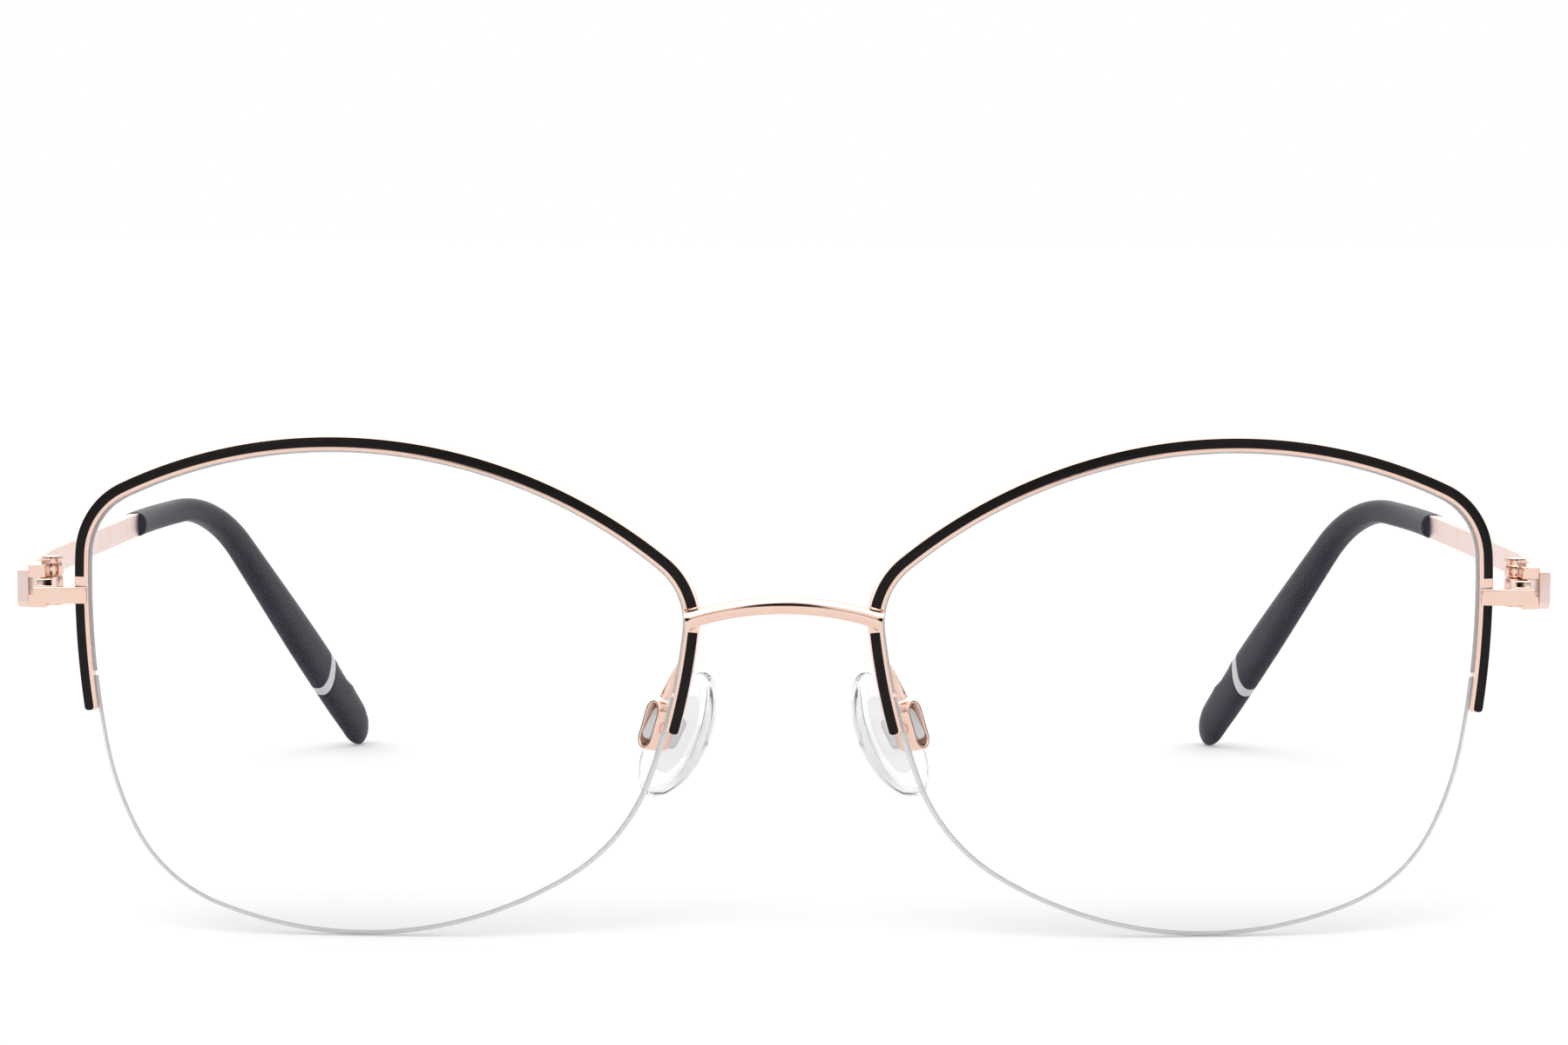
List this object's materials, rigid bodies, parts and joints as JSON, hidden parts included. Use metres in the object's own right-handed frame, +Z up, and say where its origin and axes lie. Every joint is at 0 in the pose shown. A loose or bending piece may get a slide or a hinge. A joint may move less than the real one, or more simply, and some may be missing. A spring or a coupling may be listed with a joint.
{
  "type": "spectacles",
  "caption": "Half-rim metal spectacles with black-enamelled brows, clear lenses on nylon cords, an arched bridge, silicone nose pads and folding temples.",
  "frame": {"origin": "on the table, under the middle of the length and width of the open frame", "axes": "+Z up, the front faces -Y, the temples run along +Y, and the wearer's left is +X"},
  "size_m": [0.1384, 0.1429, 0.0454],
  "materials": {
    "rose_gold": "polished plating",
    "black_enamel": "gloss enamel",
    "lens_glass": "clear, polished",
    "clear_nylon": "clear",
    "clear_silicone": "clear, smooth",
    "clear_polycarbonate": "clear, moulded",
    "slate_plastic": "satin",
    "pale_ring": "satin"
  },
  "bodies": {
    "front": {"bridge": "rose_gold", "lens_left": "lens_glass", "lens_right": "lens_glass", "eyewire_left": "rose_gold", "eyewire_right": "rose_gold", "enamel_left": "black_enamel", "enamel_right": "black_enamel", "rim_liner_left": "clear_nylon", "rim_liner_right": "clear_nylon", "nylon_cord_left": "clear_nylon", "nylon_cord_right": "clear_nylon", "endpiece_left": "rose_gold", "endpiece_right": "rose_gold", "pad_arm_left": "rose_gold", "pad_arm_right": "rose_gold", "pad_box_left": "rose_gold", "pad_box_right": "rose_gold", "pad_screw_left": "rose_gold", "pad_screw_right": "rose_gold"},
    "temple_left": {"temple_bar_left": "rose_gold", "hinge_knuckles_left": "rose_gold", "hinge_screw_left": "rose_gold", "tip_sleeve_left": "slate_plastic", "tip_ring_left": "pale_ring", "tip_end_left": "slate_plastic"},
    "nose_pad_left": {"pad_core_left": "clear_polycarbonate", "nose_pad_left": "clear_silicone"},
    "temple_right": {"temple_bar_right": "rose_gold", "hinge_knuckles_right": "rose_gold", "hinge_screw_right": "rose_gold", "tip_sleeve_right": "slate_plastic", "tip_ring_right": "pale_ring", "tip_end_right": "slate_plastic"},
    "nose_pad_right": {"pad_core_right": "clear_polycarbonate", "nose_pad_right": "clear_silicone"}
  },
  "joints": [
    {"name": "temple_left_fold", "type": "hinge", "parent": "front", "child": "temple_left", "pos_m": [0.06656, -0.06205, 0.03159], "axis": [0, 0, 1], "range_deg": [0, 83]},
    {"name": "temple_right_fold", "type": "hinge", "parent": "front", "child": "temple_right", "pos_m": [-0.06656, -0.06205, 0.03159], "axis": [0, 0, -1], "range_deg": [0, 79]},
    {"name": "nose_pad_left_rock", "type": "hinge", "parent": "front", "child": "nose_pad_left", "pos_m": [0.01145, -0.06174, 0.01866], "axis": [0.5918, 0.788, 0.1697], "range_deg": [-4, 24]},
    {"name": "nose_pad_right_rock", "type": "hinge", "parent": "front", "child": "nose_pad_right", "pos_m": [-0.01145, -0.06174, 0.01866], "axis": [0.5918, -0.788, -0.1697], "range_deg": [-4, 24]}
  ]
}
